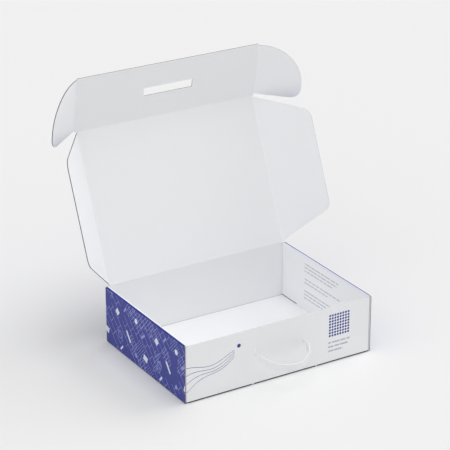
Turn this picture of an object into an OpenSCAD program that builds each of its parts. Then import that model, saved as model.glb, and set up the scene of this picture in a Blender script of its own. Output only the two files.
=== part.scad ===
// Corrugated mailer box with roll-over side walls, a tuck-front lid and a strap handle.
// The origin is at the middle of the tray's underside, the front faces -Y and +Z is up.

/* [Tray] */
// Outside width of the tray, left to right
box_w = 350; // [250:1:500]
// Outside depth of the tray, front to back
box_d = 256; // [200:1:400]
// Height of the side walls
box_h = 100; // [85:1:160]
// How far the front wall's edge lies below the side walls' top
front_drop = 1.2; // [0.8:0.1:4]
// Length of the corner flaps that lie inside the side walls
corner_l = 88; // [60:1:95]
// How far a corner flap tapers from its crease to its free end
corner_taper = 5; // [0:0.5:12]

/* [Board] */
// Thickness of the board
board_t = 1.4; // [1:0.1:2.5]
// Inside radius of a folded crease
crease_r = 0.4; // [0.2:0.1:1]
// Gap between two layers that lie against each other
layer_gap = 0.1; // [0.05:0.05:0.3]
// Gap between a swinging flap's edge and the panel that it is creased to
crease_gap = 0.3; // [0.2:0.05:0.6]
// Clearance on each side of a flap that slips in between other layers
slip = 0.15; // [0.1:0.05:0.4]
// Clearance between a folded-in wing and the side wall's lining
wing_slip = 0.25; // [0.15:0.05:1]

/* [Lining tabs] */
// Length of each tab on a lining's lower edge
tab_l = 45; // [20:1:60]
// Distance of each tab's middle from the middle of the side wall
tab_y = 58; // [40:1:62]
// Clearance around a tab in its floor slot
tab_gap = 0.2; // [0.1:0.05:0.5]

/* [Lid] */
// How far the open lid leans back from upright
lid_lean = 23; // [0:1:60]
// How deep the lid's wings are, from crease to edge
wing_w = 98; // [50:1:98]
// How far the wings are folded in from the lid's plane
wing_fold = 50; // [45:1:60]
// How far the wings fold in for each degree that the lid closes
wing_follow = 0.9; // [0.88:0.01:0.95]
// How far the wing's back edge slants away from the hinge
wing_back = 42; // [36:1:60]
// How far the wing's front edge slants away from the tuck flap
wing_front = 42; // [27:1:50]
// Corner radius at a wing's back
wing_back_r = 18; // [5:1:30]
// Corner radius at a wing's front
wing_front_r = 22; // [5:1:30]

/* [Tuck flap] */
// Height of the tuck flap, from crease to edge
tuck_h = 97; // [60:1:97]
// How far the tuck flap is bent in from the lid's plane
tuck_fold = 32; // [0:1:60]
// Length of the slot that the handle comes through
slot_l = 92.4; // [92:0.2:110]
// Height of the slot
slot_h = 14.4; // [14:0.2:20]
// Distance of the slot's middle from the tuck flap's crease
slot_from_crease = 48.5; // [40:0.5:60]
// Corner radius of the slot
slot_r = 2; // [1:0.5:6]

/* [Ears] */
// How far an ear reaches from its crease
ear_reach = 79; // [40:1:90]
// Corner radius of an ear beside the lid
ear_r = 18; // [8:1:25]
// How far the ears are folded in from the tuck flap's plane
ear_fold = 36; // [0:1:80]
// Distance of an ear's lower edge from the tuck flap's crease
ear_low = 3.2; // [2:0.1:10]
// How far the top of an ear stays below the tuck flap's edge
ear_drop = 2.5; // [1:0.5:10]
// Radius of an ear's long curved edge
ear_arc = 67; // [20:1:68]

/* [Handle] */
// Width of the strap
strap_w = 13; // [8:0.5:13]
// Thickness of the strap
strap_t = 1; // [0.6:0.1:1.4]
// Distance between the middles of the two strap ends
strap_pitch = 90.4; // [70:0.2:90.4]
// Width of the necks that pass through the wall and the tuck flap's slot
neck_w = 6; // [5:0.5:6]
// Length of the necks outside the front wall
neck_l = 6.2; // [6.2:0.2:15]
// Length over which a neck widens into the strap
neck_taper = 3; // [2:0.5:8]
// Straight length of the strap outside the front wall
strap_straight = 2.2; // [1:0.2:20]
// How far the handle droops from straight out
droop = 16; // [0:1:33]
// Height of the slits in the front wall
slit_h = 20.6; // [18:0.2:26]
// Clearance on each side of the strap in its slit
slit_gap = 0.3; // [0.2:0.05:0.6]
// Radius of the T-bar at each end of the strap
bar_r = 1.4; // [1:0.1:2]
// Length of the T-bars
bar_l = 12; // [6:0.5:20]
// Running clearance between a T-bar and the wall that it bears on
bar_gap = 0.2; // [0.1:0.05:0.5]

/* [Hidden] */
$fn = 64;
// how far a cut runs past the faces that it goes through
past = 1;

// folds
fold_r = crease_r + board_t;
half_t = board_t / 2;

// the layers of a side wall, from the outside inwards
panel_in = box_w / 2 - board_t;
pocket_w = board_t + 2 * slip;
corner_out = panel_in - pocket_w;
corner_in = corner_out - board_t;
lining_in = corner_in - layer_gap - board_t;
lining_half = box_d / 2 - board_t - crease_gap;
lining_z = board_t + layer_gap;

// the walls' edges and the corner flaps under the side walls' top strips
front_h = box_h - front_drop;
corner_top = box_h - board_t - crease_gap;
corner_z = fold_r + layer_gap;

// the lid's crease along the back wall, and the creases of its flaps
hinge_y = box_d / 2 - half_t;
hinge_z = box_h + crease_gap + half_t;
lid_l = hinge_y + box_d / 2 + crease_gap + half_t;
wing_x = lining_in - wing_slip - half_t;
ear_x = panel_in - pocket_w / 2;
edge_gap = half_t + crease_gap;

// a wing starts and ends where it drops in clear of the back and front walls
wing_start = half_t + crease_gap + layer_gap;
wing_end = lid_l - board_t - 2 * crease_gap - layer_gap;

// the square edge that the lid keeps outside its bevel
lid_land = 0.3 * board_t;

// the lid's edge is cut back inside, so that a wing can fold in as far as it is when the lid is shut
wing_shut = wing_fold + wing_follow * (90 + lid_lean);
wing_relief = (half_t + layer_gap - half_t * cos(wing_shut)) / sin(wing_shut);

ear_top = tuck_h - ear_drop;

// the handle swings on its T-bars, just behind the front wall
handle_y = -box_d / 2 + board_t + bar_gap + bar_r;
handle_z = hinge_z - slot_from_crease;
neck_end = bar_r + bar_gap + board_t + neck_l;

// the strap's arch is a half ring between its straight ends
arch_r = strap_pitch / 2;
arch_y = bar_r + bar_gap + board_t + strap_straight;

BOARD = [0.87, 0.88, 0.90];
PLASTIC = [0.93, 0.94, 0.95];

// Both of a pair, the second one mirrored across the box
module both_sides() {
    children();
    mirror([1, 0, 0]) children();
}

// One folded crease: a quarter ring around Z, in the +X +Y quadrant
module crease(length) {
    linear_extrude(length, center = true)
        intersection() {
            difference() {
                circle(fold_r);
                circle(crease_r);
            }
            square(fold_r);
        }
}

// Unit vector from one point of an outline to another
function toward(from, to) = (to - from) / norm(to - from);

// Half the angle between the two edges that meet at a corner of an outline
function half_angle(before, corner, after) =
    acos(toward(corner, before) * toward(corner, after)) / 2;

// An outline whose corner number i is rounded to radius[i], or left sharp at 0
module rounded_outline(corner, radius) {
    n = len(corner);
    tangents = [
        for (i = [0 : n - 1])
            let (
                before = corner[(i + n - 1) % n],
                after = corner[(i + 1) % n],
                back = radius[i] / tan(half_angle(before, corner[i], after))
            )
            [
                corner[i] + back * toward(corner[i], before),
                corner[i] + back * toward(corner[i], after)
            ]
    ];
    polygon([for (pair = tangents) each pair]);
    for (i = [0 : n - 1])
        if (radius[i] > 0) {
            before = corner[(i + n - 1) % n];
            after = corner[(i + 1) % n];
            bisector = toward([0, 0], toward(corner[i], before) + toward(corner[i], after));
            centre = corner[i] + radius[i] / sin(half_angle(before, corner[i], after)) * bisector;
            translate(centre)
                intersection() {
                    circle(radius[i]);
                    polygon([[0, 0], 2 * (tangents[i][0] - centre), 2 * (tangents[i][1] - centre)]);
                }
        }
}

// An outline in X and Z, given the board's thickness with its middle on the XZ plane
module board() {
    rotate([90, 0, 0]) linear_extrude(board_t, center = true) children();
}

// The floor, slotted for the tabs of both linings
module floor_panel() {
    difference() {
        translate([0, 0, half_t])
            cube([box_w - 2 * fold_r, box_d - 2 * fold_r, board_t], center = true);
        both_sides()
            for (y = [-tab_y, tab_y])
                translate([lining_in - tab_gap, y - tab_l / 2 - tab_gap, -past])
                    cube([board_t + 2 * tab_gap, tab_l + 2 * tab_gap, board_t + 2 * past]);
    }
}

// A corner flap, creased to the right end of the front wall and lying inside the side wall
module corner_flap() {
    height = corner_top - corner_z;
    mirror([0, 1, 0])
        translate([corner_out - fold_r, box_d / 2 - fold_r, corner_z + height / 2])
            crease(height);
    translate([corner_in + half_t, -box_d / 2 + fold_r, corner_z])
        rotate([0, 0, 90])
            board()
                polygon([
                    [0, 0],
                    [corner_l - fold_r, corner_taper],
                    [corner_l - fold_r, height - corner_taper],
                    [0, height]
                ]);
}

// The front or back wall with its crease to the floor and a corner flap at each end
module end_wall(height) {
    width = 2 * (corner_out - fold_r);
    translate([0, -box_d / 2 + half_t, (fold_r + height) / 2])
        cube([width, board_t, height - fold_r], center = true);
    mirror([0, 1, 0])
        translate([0, box_d / 2 - fold_r, fold_r])
            rotate([0, 90, 0]) crease(width);
    both_sides() corner_flap();
}

// The right side wall: up from the floor, over the top strip and down again as the lining
module side_wall() {
    top_w = box_w / 2 - lining_in - 2 * fold_r;
    translate([box_w / 2 - fold_r, 0, fold_r])
        rotate([-90, 0, 0]) crease(box_d);
    translate([panel_in, -box_d / 2, fold_r])
        cube([board_t, box_d, box_h - 2 * fold_r]);
    translate([box_w / 2 - fold_r, 0, box_h - fold_r])
        rotate([90, 0, 0]) crease(2 * lining_half);
    translate([lining_in + fold_r, -lining_half, box_h - board_t])
        cube([top_w, 2 * lining_half, board_t]);
    translate([lining_in + fold_r, 0, box_h - fold_r])
        mirror([1, 0, 0]) rotate([90, 0, 0]) crease(2 * lining_half);
    translate([lining_in, -lining_half, lining_z])
        cube([board_t, 2 * lining_half, box_h - fold_r - lining_z]);
    for (y = [-tab_y, tab_y])
        translate([lining_in, y - tab_l / 2, layer_gap])
            cube([board_t, tab_l, board_t]);
}

// The two slits for the strap ends, with round ends
module handle_slits() {
    slit_w = strap_t + 2 * slit_gap;
    rise = (slit_h - slit_w) / 2;
    both_sides()
        translate([strap_pitch / 2, -box_d / 2 + half_t, handle_z]) {
            cube([slit_w, board_t + 2 * past, 2 * rise], center = true);
            for (z = [-rise, rise])
                translate([0, 0, z])
                    rotate([90, 0, 0])
                        cylinder(d = slit_w, h = board_t + 2 * past, center = true);
        }
}

module tray() {
    color(BOARD) {
        floor_panel();
        both_sides() side_wall();
        difference() {
            end_wall(front_h);
            handle_slits();
        }
        mirror([0, 1, 0]) end_wall(box_h);
    }
}

// Moves a piece from the lid's own frame, with its hinge along X, to the open lid
module on_lid() {
    translate([0, hinge_y, hinge_z])
        rotate([-lid_lean, 0, 0]) children();
}

// Moves a piece from the tuck flap's own frame to its place on the open lid
module on_tuck_flap() {
    on_lid()
        translate([0, 0, lid_l])
            rotate([tuck_fold, 0, 0]) children();
}

// The round edge that a flap turns on, along X
module turning_edge(length) {
    rotate([0, 90, 0]) cylinder(d = board_t, h = length, center = true);
}

// The lid's panel, bevelled inside along both wing creases
module lid() {
    outer = wing_x - edge_gap;
    inner = wing_x - wing_relief;
    color(BOARD)
        on_lid()
            difference() {
                union() {
                    turning_edge(2 * outer);
                    translate([-outer, -half_t, 0])
                        cube([2 * outer, board_t, lid_l - edge_gap]);
                }
                both_sides()
                    translate([0, 0, -past])
                        linear_extrude(lid_l + past)
                            polygon([
                                [inner, -half_t],
                                [outer, half_t - lid_land],
                                [outer + past, half_t - lid_land],
                                [outer + past, -half_t - past],
                                [inner, -half_t - past]
                            ]);
            }
}

// The right wing, standing on the lid's right-hand crease
module wing() {
    color(BOARD)
        on_lid()
            translate([wing_x, 0, 0])
                rotate([0, 0, -wing_fold]) {
                    board()
                        rounded_outline(
                            [
                                [0, wing_start],
                                [wing_w, wing_start + wing_back],
                                [wing_w, wing_end - wing_front],
                                [0, wing_end]
                            ],
                            [0, wing_back_r, wing_front_r, 0]
                        );
                    translate([0, 0, (wing_start + wing_end) / 2])
                        cylinder(d = board_t, h = wing_end - wing_start, center = true);
                }
}

module wing_right() {
    wing();
}

module wing_left() {
    mirror([1, 0, 0]) wing();
}

// The oblong slot with its rounded corners, through the tuck flap
module handle_slot() {
    translate([0, (board_t + 2 * past) / 2, slot_from_crease])
        rotate([90, 0, 0])
            linear_extrude(board_t + 2 * past)
                rounded_outline(
                    [
                        [-slot_l / 2, -slot_h / 2],
                        [slot_l / 2, -slot_h / 2],
                        [slot_l / 2, slot_h / 2],
                        [-slot_l / 2, slot_h / 2]
                    ],
                    [slot_r, slot_r, slot_r, slot_r]
                );
}

module tuck_flap() {
    width = 2 * (ear_x - edge_gap);
    color(BOARD)
        on_tuck_flap()
            difference() {
                union() {
                    turning_edge(width);
                    translate([-width / 2, -half_t, 0])
                        cube([width, board_t, tuck_h]);
                }
                handle_slot();
            }
}

// The right ear: a straight edge beside the lid, a round corner and one long arc to the tip
module ear() {
    color(BOARD)
        on_tuck_flap()
            translate([ear_x, 0, 0])
                rotate([0, 0, -ear_fold]) {
                    board()
                        rounded_outline(
                            [[0, ear_low], [ear_reach, ear_low], [ear_reach, ear_top], [0, ear_top]],
                            [0, ear_r, ear_arc, 0]
                        );
                    translate([0, 0, (ear_low + ear_top) / 2])
                        rotate([0, 0, 180])
                            cylinder(d = board_t, h = ear_top - ear_low, center = true);
                }
}

module ear_right() {
    ear();
}

module ear_left() {
    mirror([1, 0, 0]) ear();
}

// The strap in plan: two straight ends and a half ring, pointing along +Y
module strap_plan() {
    both_sides()
        translate([arch_r - strap_t / 2, 0])
            square([strap_t, arch_y]);
    translate([0, arch_y])
        intersection() {
            difference() {
                circle(arch_r + strap_t / 2);
                circle(arch_r - strap_t / 2);
            }
            translate([-2 * arch_r, 0])
                square([4 * arch_r, 2 * arch_r]);
        }
}

// What is cut from above the strap, so that its ends narrow to the necks
module neck_cut() {
    half_neck = neck_w / 2;
    beyond = strap_w - half_neck;
    rotate([90, 0, 90])
        linear_extrude(strap_pitch + 2 * past, center = true)
            polygon([
                [-past, half_neck],
                [neck_end, half_neck],
                [neck_end + 2 * neck_taper, beyond],
                [-past, beyond]
            ]);
}

// The strap with its T-bars
module handle() {
    color(PLASTIC)
        translate([0, handle_y, handle_z])
            rotate([droop, 0, 0])
                mirror([0, 1, 0]) {
                    difference() {
                        linear_extrude(strap_w, center = true) strap_plan();
                        neck_cut();
                        mirror([0, 0, 1]) neck_cut();
                    }
                    for (x = [-arch_r, arch_r])
                        translate([x, 0, 0])
                            rotate([0, 90, 0]) cylinder(r = bar_r, h = bar_l, center = true);
                }
}

tray();
lid();
wing_left();
wing_right();
tuck_flap();
ear_left();
ear_right();
handle();
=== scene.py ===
import math

import bpy
from mathutils import Matrix, Vector


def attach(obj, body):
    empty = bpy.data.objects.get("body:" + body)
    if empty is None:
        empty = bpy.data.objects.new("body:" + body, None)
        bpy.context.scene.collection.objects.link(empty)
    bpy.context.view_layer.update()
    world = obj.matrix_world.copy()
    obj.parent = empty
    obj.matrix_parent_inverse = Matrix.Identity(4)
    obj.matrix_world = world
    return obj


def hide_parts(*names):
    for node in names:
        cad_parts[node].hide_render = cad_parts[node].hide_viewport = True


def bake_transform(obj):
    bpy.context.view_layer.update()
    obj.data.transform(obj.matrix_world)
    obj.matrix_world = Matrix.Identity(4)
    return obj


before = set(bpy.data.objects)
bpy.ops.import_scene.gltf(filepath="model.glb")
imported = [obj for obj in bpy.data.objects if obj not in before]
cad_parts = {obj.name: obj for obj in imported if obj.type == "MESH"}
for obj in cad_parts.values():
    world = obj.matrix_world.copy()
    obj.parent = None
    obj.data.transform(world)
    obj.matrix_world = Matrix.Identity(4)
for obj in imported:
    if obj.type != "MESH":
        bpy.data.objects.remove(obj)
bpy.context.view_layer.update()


# The camera stands off to the front left and looks down on the open box through a long lens.
# Its place and its focal length were worked out from the box's own straight edges.
MM = 0.001
X, Y, Z = (Vector(v) for v in ((1, 0, 0), (0, 1, 0), (0, 0, 1)))
AZIMUTH, ELEVATION, ROLL = (math.radians(a) for a in (-31.370, 23.244, -0.123))
DISTANCE, ASIDE, ABOVE = 3279.1 * MM, -20.87 * MM, 199.26 * MM
FOCAL_PIXELS, FRAME_PIXELS = 1993.4, 450
SENSOR = 36

back = Vector((
    math.sin(AZIMUTH) * math.cos(ELEVATION),
    -math.cos(AZIMUTH) * math.cos(ELEVATION),
    math.sin(ELEVATION),
))
level_right = (-back).cross(Z).normalized()
level_up = level_right.cross(-back)
right = math.cos(ROLL) * level_right + math.sin(ROLL) * level_up
up = -math.sin(ROLL) * level_right + math.cos(ROLL) * level_up
camera_at = DISTANCE * back + ASIDE * right + ABOVE * up
bpy.ops.object.camera_add()
camera = bpy.context.object
camera.name = "camera"
turn = Matrix((right, up, back)).transposed().to_4x4()
camera.matrix_world = Matrix.Translation(camera_at) @ turn
camera.data.sensor_width = SENSOR
camera.data.lens = FOCAL_PIXELS * SENSOR / FRAME_PIXELS
camera.data.clip_end = 50
bpy.context.scene.camera = camera


# The studio is a pale seamless floor under a white dome. A wide lamp overhead lights the inside
# of the box, and one from the right lays a soft shadow to the left. Two weak ones that cast no
# shadow bring up the walls' own colours.
class Paint:
    """A socket of a material's nodes, on which Python's operators add Math nodes."""

    def __init__(self, tree, socket):
        self.tree, self.socket = tree, socket

    def node(self, kind, settings, sockets, out=0):
        """Adds a node of any type and returns one of its outputs."""
        new = self.tree.nodes.new("ShaderNode" + kind)
        for name, value in settings.items():
            setattr(new, name, value)
        for key, value in sockets.items():
            if isinstance(value, Paint):
                self.tree.links.new(value.socket, new.inputs[key])
            else:
                new.inputs[key].default_value = value
        return Paint(self.tree, new.outputs[out])

    def output(self, key):
        """Another output of the node that this socket belongs to."""
        return Paint(self.tree, self.socket.node.outputs[key])

    def math(self, operation, *values):
        """A Math node on values or links."""
        return self.node("Math", {"operation": operation}, dict(enumerate(values)))

    def __add__(self, other):
        return self.math("ADD", self, other)

    __radd__ = __add__

    def __sub__(self, other):
        return self.math("SUBTRACT", self, other)

    def __rsub__(self, other):
        return self.math("SUBTRACT", other, self)

    def __mul__(self, other):
        return self.math("MULTIPLY", self, other)

    __rmul__ = __mul__

    def __mod__(self, other):
        return self.math("FLOORED_MODULO", self, other)

    def __gt__(self, other):
        return self.math("GREATER_THAN", self, other)

    def __lt__(self, other):
        return self.math("LESS_THAN", self, other)

    def __abs__(self):
        return self.math("ABSOLUTE", self)

    def __or__(self, other):
        return self.math("MAXIMUM", self, other)

    def sine(self):
        return self.math("SINE", self)

    def between(self, low, high):
        """A mask, 1 where the value lies between the two."""
        return (self > low) * (self < high)

    def over(self, under, colour):
        """This mask's colour laid over another colour."""
        return self.node(
            "Mix", {"data_type": "RGBA"}, {0: self, 6: under, 7: colour}, out=2
        )

    def parts(self):
        """The three numbers of a vector or colour."""
        split = self.node("SeparateXYZ", {}, {0: self})
        return [split.output(i) for i in range(3)]

    def dot(self, direction):
        """How far a vector reaches along a direction."""
        return self.node(
            "VectorMath", {"operation": "DOT_PRODUCT"}, {0: self, 1: direction}, out=1
        )

    def goes_to(self, shader, socket):
        self.tree.links.new(self.socket, shader.inputs[socket])


def rgb(red, green, blue):
    """A colour given as it shows on a screen, from 0 to 255."""
    def linear(v):
        v /= 255
        return v / 12.92 if v <= 0.04045 else ((v + 0.055) / 1.055) ** 2.4
    return (linear(red), linear(green), linear(blue), 1)


def material(name, shader_values):
    """A new material, its shader, and the Object coordinates and normal on its surface."""
    made = bpy.data.materials.new(name)
    made.use_nodes = True
    tree = made.node_tree
    shader = tree.nodes["Principled BSDF"]
    for key, value in shader_values.items():
        shader.inputs[key].default_value = value
    place = Paint(tree, tree.nodes.new("ShaderNodeTexCoord").outputs["Object"])
    return made, shader, place, place.output("Normal")


def looking(tree):
    """Whether a ray is the camera's own, or comes to it off gloss or through plastic."""
    ray = Paint(tree, tree.nodes.new("ShaderNodeLightPath").outputs["Is Camera Ray"])
    return ray | ray.output("Is Glossy Ray") | ray.output("Is Transmission Ray")


BACKDROP = rgb(242, 242, 242)
BLACK, FULL_WHITE = (0, 0, 0, 1), (1, 1, 1, 1)
DOME = 0.463
FLOOR_Z = -0.2 * MM
# the floor takes this share of the light, and shows the rest of its colour as its own, which
# softens the shadow and keeps it grey beside the blue wall
LIT = (0.92, 0.92, 0.97)

bpy.ops.object.select_all(action="DESELECT")
bpy.ops.mesh.primitive_plane_add(size=24, location=(0, 0, FLOOR_Z))
floor = bpy.context.object
floor.name = "floor"
seamless, shader, *_ = material(
    "seamless_floor", {"Roughness": 1.0, "Specular IOR Level": 0.0, "Base Color": BACKDROP}
)
seen = looking(seamless.node_tree)
lit = [share * level for share, level in zip(LIT, BACKDROP)]
seen.over(BACKDROP, (*lit, 1)).goes_to(shader, "Base Color")
glow = [level - part for level, part in zip(BACKDROP, lit)]
seen.over(BLACK, (*glow, 1)).goes_to(shader, "Emission Color")
shader.inputs["Emission Strength"].default_value = 1.0
floor.data.materials.append(seamless)

world = bpy.data.worlds.new("studio")
bpy.context.scene.world = world
world.use_nodes = True
background = world.node_tree.nodes["Background"]
background.inputs["Color"].default_value = FULL_WHITE
seen = looking(world.node_tree)
(seen * (BACKDROP[0] - DOME) + DOME).goes_to(background, "Strength")


def soft_sun(name, towards, angle, power, shadow=True):
    """An even lamp a long way off, as wide as the angle says."""
    bpy.ops.object.light_add(type="SUN")
    lamp = bpy.context.object
    lamp.name = name
    lamp.data.angle = math.radians(angle)
    lamp.data.energy = power * math.pi
    lamp.data.use_shadow = shadow
    lamp.rotation_euler = Vector(towards).to_track_quat("Z", "Y").to_euler()


soft_sun("top_light", (0.05, -0.18, 1.0), 40, 0.275)
soft_sun("key_light", (0.85, 0.10, 0.50), 50, 0.32)
soft_sun("fill_right", (0.85, -0.31, 0.42), 60, 0.07, shadow=False)
soft_sun("fill_left", (-0.85, -0.31, 0.42), 60, 0.148, shadow=False)


# The tray is the folded sheet itself, white-lined E-flute board: a floor, four walls, and linings
# that roll over the side walls and lock into the floor with their tabs. Its outside is printed
# blue with pale line work, apart from the white front.
WALL_X, WALL_Y = 175 * MM, 128 * MM
BOARD = 1.4 * MM
FLUTE = 3.2 * MM
PAPER = {"Roughness": 0.62, "Specular IOR Level": 0.3}
WHITE = rgb(246, 247, 249)
INK = rgb(66, 74, 150)
LINE_INK = rgb(116, 120, 150)
KRAFT, FLUTING = rgb(186, 176, 168), rgb(124, 108, 98)


def flat(u, v):
    """A vector from two of a surface's own coordinates."""
    return u.node("CombineXYZ", {}, {0: u, 1: v})


def turned(u, v, degrees):
    """Plane coordinates turned by an angle."""
    c, s = math.cos(math.radians(degrees)), math.sin(math.radians(degrees))
    return u * c + v * s, v * c - u * s


def oblong_lines(u, v, degrees, length, height):
    """Thin lines around staggered oblongs."""
    a, b = turned(u, v, degrees)
    return a.node(
        "TexBrick",
        {"offset": 0.37, "squash": 0.6, "squash_frequency": 3},
        {
            "Vector": flat(a, b),
            "Color1": BLACK,
            "Color2": BLACK,
            "Mortar": FULL_WHITE,
            "Scale": 1.0,
            "Mortar Size": 0.3 * MM,
            "Mortar Smooth": 0.0,
            "Brick Width": length,
            "Row Height": height,
        },
    )


def disc(u, v, radius):
    """A mask of a round spot at the origin of u and v."""
    length = u.node("VectorMath", {"operation": "LENGTH"}, {0: flat(u, v)}, out=1)
    return length < radius


def ring(u, v, radius):
    """A mask of a ring of thin line."""
    return disc(u, v, radius) - disc(u, v, radius - 1.3 * MM)


def oblong(u, v, degrees, length, height):
    """A mask of a turned oblong at the origin of u and v."""
    a, b = turned(u, v, degrees)
    return (abs(a) < length / 2) * (abs(b) < height / 2)


REPEAT_U, REPEAT_V = 128 * MM, 100 * MM


def print_shapes(u, v):
    """The print's pale shapes and, among them, the palest, which repeat over the sheet."""
    u, v = (u + 20 * MM) % REPEAT_U, v % REPEAT_V

    def at(x, y):
        """Coordinates from a place in the repeat, given in millimetres."""
        return u - x * MM, v - y * MM

    light = (
        oblong(*at(17, 24), 18, 13 * MM, 10 * MM)
        | disc(*at(46, 78), 4.6 * MM)
        | oblong(*at(72, 40), 52, 21 * MM, 4.6 * MM)
        | oblong(*at(108, 70), 40, 10 * MM, 10 * MM)
        | oblong(*at(96, 10), -46, 12 * MM, 3.4 * MM)
    )
    tinted = (
        oblong(*at(24, 60), -38, 16 * MM, 4 * MM)
        | ring(*at(100, 32), 7 * MM)
        | disc(*at(48, 16), 3.6 * MM)
        | oblong(*at(82, 84), -50, 12 * MM, 3.6 * MM)
    )
    return light | tinted, light


PATCH = 27 * MM
UP_TILT, DOWN_TILT = 44, -46
HATCH_PITCH, HATCH_LINE = 4.2 * MM, 0.5 * MM


def blue_print(place, u, v):
    """The blue ground with its fine line work and pale shapes, on a plane in metres.

    The ground is cut into patches, and each patch's own number, from 0 to 1, says which lines
    it carries.
    """
    cell = flat(u, v).node(
        "TexVoronoi",
        {"voronoi_dimensions": "2D"},
        {"Vector": flat(u, v), "Scale": 1 / PATCH, "Randomness": 0.8},
        out="Color",
    )
    patch, _, _ = cell.parts()
    wide = oblong_lines(u, v, UP_TILT, 34 * MM, 13 * MM) * (patch < 0.66)
    narrow = oblong_lines(u, v, DOWN_TILT, 17 * MM, 6 * MM) * patch.between(0.46, 0.64)
    across, _ = turned(u, v, UP_TILT)
    hatch = (across % HATCH_PITCH < HATCH_LINE) * patch.between(0.64, 0.74)
    lines = wide | narrow | hatch
    mottle = place.node("TexNoise", {}, {"Vector": place, "Scale": 240.0, "Detail": 3.0})
    ground = mottle.over(rgb(54, 60, 134), rgb(76, 82, 162))
    lined = (lines * 0.85).over(ground, rgb(182, 188, 244))
    shapes, light = print_shapes(u, v)
    tint = light.over(rgb(150, 158, 218), rgb(226, 230, 246))
    return shapes.over(lined, tint)


def white_liner(place):
    """White paper with a little fibre and cloud in its colour."""
    fibre = place.node(
        "TexNoise", {}, {"Vector": place, "Scale": 900.0, "Detail": 4.0, "Roughness": 0.7}
    )
    cloud = place.node("TexNoise", {}, {"Vector": place, "Scale": 22.0, "Detail": 2.0})
    darker = tuple(c * 0.965 for c in WHITE[:3]) + (1,)
    return (fibre * 0.6 + cloud * 0.4).over(darker, WHITE)


def paper_relief(place, shader, across_flutes):
    """Paper fibre and the flutes' faint washboard, as bump."""
    fibre = place.node("TexNoise", {}, {"Vector": place, "Scale": 1400.0, "Detail": 3.0})
    ripple = (across_flutes * (2 * math.pi / FLUTE)).sine()
    bump = place.node(
        "Bump",
        {},
        {"Strength": 0.12, "Distance": 0.05 * MM, "Height": fibre * 0.25 + ripple * 0.5},
    )
    bump.goes_to(shader, "Normal")


WAVE, WAVE_PAPER = 0.36 * MM, 0.16 * MM
INNER_LINER, OUTER_LINER = 0.2 * MM, 0.28 * MM


def cut_edge(along, outwards, hollow=FLUTING, solid=KRAFT):
    """The board's raw edge: the fluting's wave between two liners, the outer one printed."""
    wave = (along * (2 * math.pi / FLUTE)).sine() * WAVE
    fibre = (abs(outwards - wave) < WAVE_PAPER) | (outwards < INNER_LINER - BOARD / 2)
    return (outwards > BOARD / 2 - OUTER_LINER).over(fibre.over(hollow, solid), INK)


tray_board, shader, place, normal = material("tray_board", PAPER)
x, y, z = place.parts()
nx, ny, nz = normal.parts()

# the outside is blue: the side walls and the creases over their tops, the back, the underside
NEAR_TOP, LID_CREASE_Z = 90 * MM, 101 * MM
CREASE_DEPTH, SLACK = 1.8 * MM, 0.1 * MM
ROLL_START, TOP_INK_LEFT, TOP_INK_RIGHT = 168 * MM, 2.6 * MM, 3.0 * MM
side = (abs(x) > WALL_X - BOARD / 4) * (abs(nx) > 0.35)
roll_over = (nz > 0.3) * (z > NEAR_TOP) * (abs(ny) < 0.5) * (abs(x) > ROLL_START)
top_crease = roll_over * ((x > WALL_X - TOP_INK_RIGHT) | (x < TOP_INK_LEFT - WALL_X))
rear = (y > WALL_Y - CREASE_DEPTH) * (ny > 0.2)
underside = (z < 1.0 * MM) * (nz < -0.3)
blue = side | top_crease | rear | underside

# the side walls' print is laid out by depth and height, the back's by width and height, and the
# underside's by width and depth
print_u = side * y + (1 - side) * x
print_v = underside * y + (1 - underside) * (z - LID_CREASE_Z)
colour = blue.over(white_liner(place), blue_print(place, print_u, print_v))

# the print runs over the side walls' top creases in a deeper blue, as painted shade of the folds,
# deeper on the left; and the paper that rolls over the right wall is tinted grey as painted shade
colour = (roll_over * (x > 0)).over(colour, rgb(226, 227, 240))
colour = top_crease.over(colour, (x > 0).over(rgb(34, 46, 138), rgb(24, 28, 128)))

# the underside's print comes round the front crease, apart from two bare places; its navy, far
# deeper than the print's blue, is partly print and partly painted shade under the crease
CREASE_INK_TOP = 2.4 * MM
front = (y < CREASE_DEPTH + SLACK - WALL_Y) * (ny < -0.2) * (abs(x) < WALL_X - BOARD - SLACK)
bare = x.between(-53 * MM, -49 * MM) | x.between(68 * MM, 71 * MM)
colour = (front * (z < CREASE_INK_TOP) * (1 - bare)).over(colour, rgb(20, 24, 70))

# front print: a fan of flowing lines that meet near a dot, a square of dots and three bars
FAN_L, FAN_SPREAD, FAN_LINE = 100 * MM, 13 * MM, 0.8 * MM
inked = disc(x + 77 * MM, z - 76 * MM, 3.4 * MM)
reach = (x + WALL_X) * (1 / FAN_L)
for k in range(4):
    sway = (reach * 6.6 + 0.5 * k).sine() * (5.5 * MM)
    level = reach * (50 * MM - k * FAN_SPREAD) + sway + (16 * MM + k * FAN_SPREAD)
    inked = inked | (abs(z - level) < FAN_LINE / 2) * (reach < 0.9)
DOTS, PITCH = 8, 5.1 * MM
square_x, square_z = x - 92.4 * MM, z - 45.2 * MM
dots = disc(square_x % PITCH - PITCH / 2, square_z % PITCH - PITCH / 2, 2 * MM)
square = square_x.between(0, DOTS * PITCH) * square_z.between(0, DOTS * PITCH)
colour = (front * (inked | dots * square)).over(colour, INK)


def broken_line(along, across, start, end, height, row):
    """A line of plain dashes of uneven lengths, from two waves that each row shifts.

    A third, finer wave thins the ink within the dashes.
    """
    dashes = (along * (430 + 31 * row) + 1.7 * row).sine() + (along * 1130 + row).sine()
    strokes = (along * 3900).sine() * 0.35 + 0.65
    return along.between(start, end) * (abs(across) < height / 2) * (dashes > -1.25) * strokes


BAR_TOP, BAR_PITCH, BARS_START = 35.6, 7.4, 92
for row, end in enumerate((134, 131, 121)):
    height = (BAR_TOP - BAR_PITCH * row) * MM
    bar = broken_line(x, z - height, BARS_START * MM, end * MM, 3 * MM, row)
    colour = (front * bar * 0.8).over(colour, LINE_INK)
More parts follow.
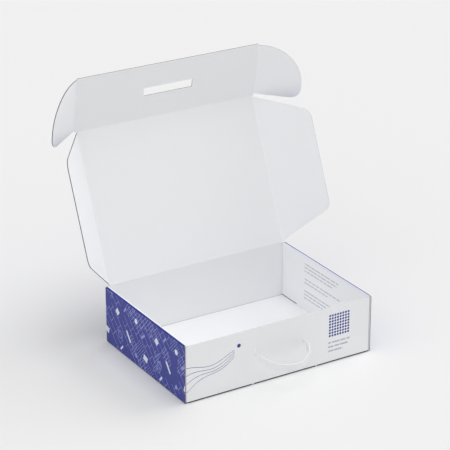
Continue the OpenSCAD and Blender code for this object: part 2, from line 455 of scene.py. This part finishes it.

# the scores show as thin lines inside; beside their tabs the linings stand clear of the floor,
# and the shade in that gap is painted as a dark line along their feet
LINING_X = 169 * MM
SCORE_TOP, GAP_SHADE_TOP = 2.2 * MM, 3 * MM
TAB_START, TAB_END, TAB_CUT = 35.3 * MM, 80.7 * MM, 2.1 * MM
inside = (abs(x) < LINING_X + SLACK) * (z > 1 * MM)
scored = inside * (z < SCORE_TOP) * (y > WALL_Y - CREASE_DEPTH - SLACK)
colour = scored.over(colour, rgb(206, 205, 205))
# painted shade: the dark line at the linings' feet beside their tabs
lining_gap_shade = inside * (abs(nx) > 0.9) * (abs(x) > LINING_X - BOARD / 2) * (z < GAP_SHADE_TOP)
clear = (abs(y) > TAB_END) | abs(y).between(TAB_START - TAB_CUT, TAB_START)
colour = (lining_gap_shade * clear).over(colour, rgb(96, 92, 90))

# lining print: three blocks of the same broken lines, each given by its height and its front end
LINING_ROWS = (
    (86.5, -43), (80.0, -38), (73.5, -25), (58.5, -50), (52.0, -12),
    (36.5, -22), (30.0, -30), (23.5, 2),
)
ROWS_BACK = 58 * MM
lining = (x > 0) * (x < WALL_X - 3 * MM) * (nx < -0.9)
for row, (height, end) in enumerate(LINING_ROWS):
    line = broken_line(y, z - height * MM, end * MM, ROWS_BACK, 2.0 * MM, row)
    colour = (lining * line * 0.8).over(colour, LINE_INK)

# raw edges: the front's and back's ends in full, and a touch of them along their tops
ends = (abs(x) > WALL_X - BOARD) * (abs(ny) > 0.9)
colour = ends.over(colour, cut_edge(z, abs(x) - WALL_X + BOARD / 2))
tops = (abs(y) > WALL_Y - BOARD) * (nz > 0.9) * (z > NEAR_TOP)
colour = (tops * 0.3).over(colour, cut_edge(x, abs(y) - WALL_Y + BOARD / 2))
colour.goes_to(shader, "Base Color")
paper_relief(place, shader, y)


def dress(node, paint):
    """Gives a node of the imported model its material."""
    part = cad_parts[node]
    part.data.materials.clear()
    part.data.materials.append(paint)


dress("tray", tray_board)


# The lid and its flaps are the same sheet: white inside, printed outside, raw at the edges.
# Each is creased to its neighbour and turned by its own angle, so its print lies on its own
# plane and is laid out from the place that the flap has on the flat sheet.
LEAN, TUCK, WING, EAR = 23, 32, 50, 36
HINGE = Vector((0, 127.3 * MM, LID_CREASE_Z))
LID_L = 256.3 * MM
WING_X, EAR_X = 168.05 * MM, 172.75 * MM


def flap_directions(lean):
    """Along a flap that leans back from upright, and out of its inner face."""
    a = math.radians(lean)
    return Vector((0, math.sin(a), math.cos(a))), Vector((0, -math.cos(a), math.sin(a)))


def folded_in(leaving, inward, degrees):
    """The directions of a flap that is folded in: away from its crease, and out of its face."""
    a = math.radians(degrees)
    return (
        leaving * math.cos(a) + inward * math.sin(a),
        inward * math.cos(a) - leaving * math.sin(a),
    )


lid_along, lid_inward = flap_directions(LEAN)
tuck_along, tuck_inward = flap_directions(LEAN - TUCK)
TUCK_CREASE = HINGE + LID_L * lid_along


def flap_board(name, origin, across, along, inward, on_sheet, raw=None, cut=()):
    """The board of one flap, from its crease's place and its own three directions.

    The print runs on from panel to panel, so on_sheet says where the flap's own place
    lies on the flat sheet, whose origin is the middle of the lid's crease. raw says where
    the flap has a raw edge, and cut gives that edge's colours where they aren't the tray's.
    """
    made, shader, place, normal = material(name, PAPER)
    local = place.node("VectorMath", {"operation": "SUBTRACT"}, {0: place, 1: origin})
    u, v, w = (local.dot(d) for d in (across, along, inward))
    facing = normal.dot(inward)
    colour = (facing < -0.05).over(white_liner(place), blue_print(place, *on_sheet(u, v)))
    if raw:
        # an edge may run along u or v, so the fluting's wave follows a mixture of both
        edge = cut_edge(u + v * 0.37, w * -1, *cut)
        colour = ((abs(facing) < 0.3) * raw(u, v)).over(colour, edge)
    colour.goes_to(shader, "Base Color")
    paper_relief(place, shader, u)
    return made


def tuck_raw(u, v):
    """The tuck flap's raw edges: its top and the slot."""
    return (v > 90 * MM) | (abs(u) < 60 * MM) * (v > 20 * MM)


def side_raw(u, v):
    """A wing's or an ear's raw edges: all but its crease."""
    return u > 1 * MM


def lid_sheet(u, v):
    """The lid starts at the flat sheet's origin."""
    return u, v


def tuck_sheet(u, v):
    """The tuck flap starts where the lid ends."""
    return u, v + LID_L


def wing_sheet(sign):
    """A wing starts at the lid's left or right edge."""
    return lambda u, v: ((u + WING_X) * sign, v)


def ear_sheet(sign):
    """An ear starts at the tuck flap's left or right edge."""
    return lambda u, v: ((u + EAR_X) * sign, v + LID_L)


dress("lid", flap_board("lid_board", HINGE, X, lid_along, lid_inward, lid_sheet))
dress("tuck_flap", flap_board(
    "tuck_board", TUCK_CREASE, X, tuck_along, tuck_inward, tuck_sheet, tuck_raw))

# the left flaps' cut edges are a darker copy of the edge colours, as painted shade, and the
# right flaps' a paler one, as painted light
SHADED_CUT = (rgb(74, 64, 60), rgb(132, 122, 116))
LIT_CUT = (rgb(150, 140, 132), rgb(214, 208, 204))
for sign, word, cut in ((-1, "left", SHADED_CUT), (1, "right", LIT_CUT)):
    out, inward = folded_in(sign * X, lid_inward, WING)
    dress("wing_" + word, flap_board(
        "wing_board_" + word, HINGE + sign * WING_X * X, out, lid_along, inward,
        wing_sheet(sign), side_raw, cut))
    out, inward = folded_in(sign * X, tuck_inward, EAR)
    dress("ear_" + word, flap_board(
        "ear_board_" + word, TUCK_CREASE + sign * EAR_X * X, out, tuck_along, inward,
        ear_sheet(sign), side_raw, cut))


# The creases are where the board bends between two panels: its liners run on over the score
# without a break. Each strip's paper and print follow the strip's own UV map, which gives a
# place on the flat sheet.
TURNS = 8
ROUND = 0.2 * MM
PROUD = 0.01 * MM
BEND_REACH = 1.5 * MM
SHARP = math.radians(40)


def crease_paint(name):
    """A crease's material, its shader, and the place on the flat sheet."""
    made, shader, place, _ = material(name, PAPER)
    return made, shader, place.output("UV")


crease_white, shader, sheet = crease_paint("crease_white")
white_liner(sheet).goes_to(shader, "Base Color")
crease_blue, shader, sheet = crease_paint("crease_blue")
u, v, _ = sheet.parts()
blue_print(sheet, u, v).goes_to(shader, "Base Color")
crease_raw, shader, sheet = crease_paint("crease_raw")
fibre = sheet.node("TexNoise", {}, {"Vector": sheet, "Scale": 900.0, "Detail": 2.0})
fibre.over(FLUTING, KRAFT).goes_to(shader, "Base Color")


def crease_strip(name, bodies, middle, axis, leaving, inward, fold, length, runs, on_sheet):
    """Board over one crease: it leaves a panel, turns through the fold and runs on.

    It lies a hair proud of the panels and reaches over them by the two runs.
    """
    half, radius = BOARD / 2 + PROUD, BOARD / 2 + ROUND
    bend = math.radians(fold)
    lead = radius * math.tan(abs(bend) / 2)
    gone, _ = folded_in(leaving, inward, fold)
    _, halfway = folded_in(leaving, inward, fold / 2)
    bpy.ops.object.select_all(action="DESELECT")
    bpy.ops.mesh.primitive_plane_add(size=1)
    strip = bpy.context.object
    strip.name = name
    start = middle - (runs[0] + lead) * leaving
    for vertex in strip.data.vertices:
        along, through, _ = vertex.co
        vertex.co = start + along * length * axis + 2 * through * half * inward
    bpy.ops.object.mode_set(mode="EDIT")
    bpy.ops.mesh.select_all(action="SELECT")
    bpy.ops.mesh.extrude_region_move(TRANSFORM_OT_translate={"value": runs[0] * leaving})
    bpy.ops.mesh.spin(
        steps=TURNS,
        angle=bend,
        center=middle - lead * leaving + math.copysign(radius, fold) * inward,
        axis=inward.cross(leaving),
    )
    bpy.ops.mesh.extrude_region_move(TRANSFORM_OT_translate={"value": runs[1] * gone})
    bpy.ops.mesh.select_all(action="SELECT")
    bpy.ops.mesh.normals_make_consistent(inside=False)
    bpy.ops.object.mode_set(mode="OBJECT")
    bpy.ops.object.shade_smooth_by_angle(angle=SHARP)
    for paint in (crease_raw, crease_white, crease_blue):
        strip.data.materials.append(paint)
    raw_slot, white_slot, blue_slot = range(3)
    # each step of the extrusions and the spin has added four points in turn
    turning = [lead * (2 * k / TURNS - 1) for k in range(TURNS + 1)]
    past = [-lead - runs[0], *turning, lead + runs[1]]
    for face in strip.data.polygons:
        facing = face.normal.dot(halfway)
        printed = blue_slot if facing < -0.3 else raw_slot
        face.material_index = white_slot if facing > 0.3 else printed
        for loop in face.loop_indices:
            point = strip.data.loops[loop].vertex_index
            along = (strip.data.vertices[point].co - middle).dot(axis)
            strip.data.uv_layers[0].data[loop].uv = on_sheet(past[point // 4], along)
    middle - BEND_REACH * leaving
    middle + BEND_REACH * gone
    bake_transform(strip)


LID_W = 2 * (WING_X - 1.0 * MM)
WING_MIDDLE, WING_L = 127.65 * MM, 253.1 * MM
EAR_MIDDLE, EAR_L = 48.85 * MM, 91.3 * MM
SHORT = (1.9 * MM, 0.8 * MM)
LONG = (3.2 * MM, 0.8 * MM)
crease_strip(
    "lid_crease", ("tray", "lid"), HINGE, X, Z, -Y, -LEAN, LID_W, SHORT,
    lambda past, along: (along, past),
)
crease_strip(
    "tuck_crease", ("lid", "tuck_flap"), TUCK_CREASE, X, lid_along, lid_inward, TUCK, LID_W,
    SHORT, lambda past, along: (along, LID_L + past),
)
for sign, word in ((-1, "left"), (1, "right")):
    crease_strip(
        "wing_crease_" + word, ("lid", "wing_" + word),
        HINGE + sign * WING_X * X + WING_MIDDLE * lid_along,
        lid_along, sign * X, lid_inward, WING, WING_L, LONG,
        lambda past, along: wing_sheet(sign)(past, along + WING_MIDDLE),
    )
    crease_strip(
        "ear_crease_" + word, ("tuck_flap", "ear_" + word),
        TUCK_CREASE + sign * EAR_X * X + EAR_MIDDLE * tuck_along,
        tuck_along, sign * X, tuck_inward, EAR, EAR_L, SHORT,
        lambda past, along: ear_sheet(sign)(past, along + EAR_MIDDLE),
    )


# The handle is one moulded strap of translucent plastic with a bead along both edges: its two
# necks pass through slits in the front wall and end in T-bars behind it.
ARCH_R, ARCH_Y = 45.2 * MM, 4.9 * MM
STRAP_HALF, NECK_HALF, STRAP_T = 6.5 * MM, 3.0 * MM, 1.6 * MM
NECK_END, STRAP_FULL = 9.2 * MM, 12.2 * MM
BEAD_IN, BEAD_OUT = 4.6 * MM, 5.6 * MM
NECK_SHARE, BEAD_SHARE, WEB_SHARE = 0.6, 1.0, 0.5
BAR_R, BAR_L = 1.4 * MM, 12 * MM
ARCH_STEPS, BAR_SIDES = 48, 31
STRAP_BEVEL, BAR_BEVEL, BEVELLED = 0.3 * MM, 0.4 * MM, math.radians(50)
DROOP = 16
HANDLE_AT = Vector((0, -125, 52.5)) * MM

bpy.ops.object.select_all(action="DESELECT")
bpy.ops.mesh.primitive_plane_add(size=1)
handle = bpy.context.object
handle.name = "strap_handle"
for vertex in handle.data.vertices:
    across, along, _ = vertex.co
    vertex.co = (-ARCH_R, -(along + 0.5) * ARCH_Y, 2 * across * STRAP_HALF)
bpy.ops.object.mode_set(mode="EDIT")
for height in (-BEAD_OUT, -BEAD_IN, 0, BEAD_IN, BEAD_OUT):
    bpy.ops.mesh.select_all(action="SELECT")
    bpy.ops.mesh.bisect(plane_co=(0, 0, height), plane_no=Z)


def select_edges(piece, wanted):
    """Selects, in edit mode, the edges whose two ends are both where wanted says."""
    bpy.ops.mesh.select_mode(type="EDGE")
    bpy.ops.mesh.select_all(action="DESELECT")
    bpy.ops.object.mode_set(mode="OBJECT")
    points = piece.data.vertices
    for edge in piece.data.edges:
        edge.select = all(wanted(points[i].co) for i in edge.vertices)
    bpy.ops.object.mode_set(mode="EDIT")


select_edges(handle, lambda co: co.y < -ARCH_Y + 0.01 * MM)
bpy.ops.mesh.spin(steps=ARCH_STEPS, angle=math.pi, center=(0, -ARCH_Y, 0), axis=-Z)
bpy.ops.mesh.extrude_region_move(TRANSFORM_OT_translate={"value": (0, ARCH_Y, 0)})
for depth in (NECK_END, STRAP_FULL):
    bpy.ops.mesh.select_all(action="SELECT")
    bpy.ops.mesh.bisect(plane_co=(0, -depth, 0), plane_no=Y)
bpy.ops.mesh.select_all(action="SELECT")
bpy.ops.mesh.remove_doubles(threshold=0.001 * MM)
bpy.ops.mesh.normals_make_consistent(inside=False)
bpy.ops.object.mode_set(mode="OBJECT")

# the neck widens into the strap, which is thickest at the beads and thinnest between them
bead = handle.vertex_groups.new(name="bead")
for vertex in handle.data.vertices:
    share = min(max((-vertex.co.y - NECK_END) / (STRAP_FULL - NECK_END), 0), 1)
    full = BEAD_SHARE if abs(vertex.co.z) > (BEAD_IN + BEAD_OUT) / 2 else WEB_SHARE
    bead.add([vertex.index], NECK_SHARE + share * (full - NECK_SHARE), "REPLACE")
    vertex.co.z *= (NECK_HALF + share * (STRAP_HALF - NECK_HALF)) / STRAP_HALF


def modified(piece, kind, **settings):
    """Adds a modifier to a piece and applies it."""
    modifier = piece.modifiers.new(kind.lower(), kind)
    for key, value in settings.items():
        setattr(modifier, key, value)
    bpy.ops.object.modifier_apply(modifier=modifier.name)


modified(
    handle, "SOLIDIFY", thickness=STRAP_T, offset=0, vertex_group="bead",
    thickness_vertex_group=0.0,
)
modified(handle, "BEVEL", width=STRAP_BEVEL, segments=3, angle_limit=BEVELLED)

# the T-bars, whose odd number of sides keeps their corners off the strap's own edges
for sign in (-1, 1):
    bpy.ops.object.select_all(action="DESELECT")
    bpy.ops.mesh.primitive_cylinder_add(
        vertices=BAR_SIDES, radius=BAR_R, depth=BAR_L,
        location=(sign * ARCH_R, 0, 0), rotation=(0, math.pi / 2, 0),
    )
    bar = bpy.context.object
    bpy.ops.object.transform_apply()
    modified(bar, "BEVEL", width=BAR_BEVEL, segments=3, angle_limit=BEVELLED)
    bpy.context.view_layer.objects.active = handle
    modified(handle, "BOOLEAN", operation="UNION", object=bar, solver="EXACT")
    bpy.data.objects.remove(bar)
bpy.ops.object.select_all(action="DESELECT")
handle.select_set(True)
handle.location = HANDLE_AT
handle.rotation_euler = (math.radians(DROOP), 0, 0)
bpy.ops.object.transform_apply()
bpy.ops.object.shade_smooth_by_angle(angle=SHARP)

strap_plastic, shader, place, _ = material(
    "strap_plastic", {"Roughness": 0.32, "Transmission Weight": 0.12, "IOR": 1.45}
)
haze = place.node("TexNoise", {}, {"Vector": place, "Scale": 420.0, "Detail": 2.0})
haze.over(rgb(247, 248, 250), rgb(252, 252, 253)).goes_to(shader, "Base Color")
handle.data.materials.clear()
handle.data.materials.append(strap_plastic)
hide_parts("handle")
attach(handle, "handle")


bpy.context.scene.view_settings.view_transform = "Standard"
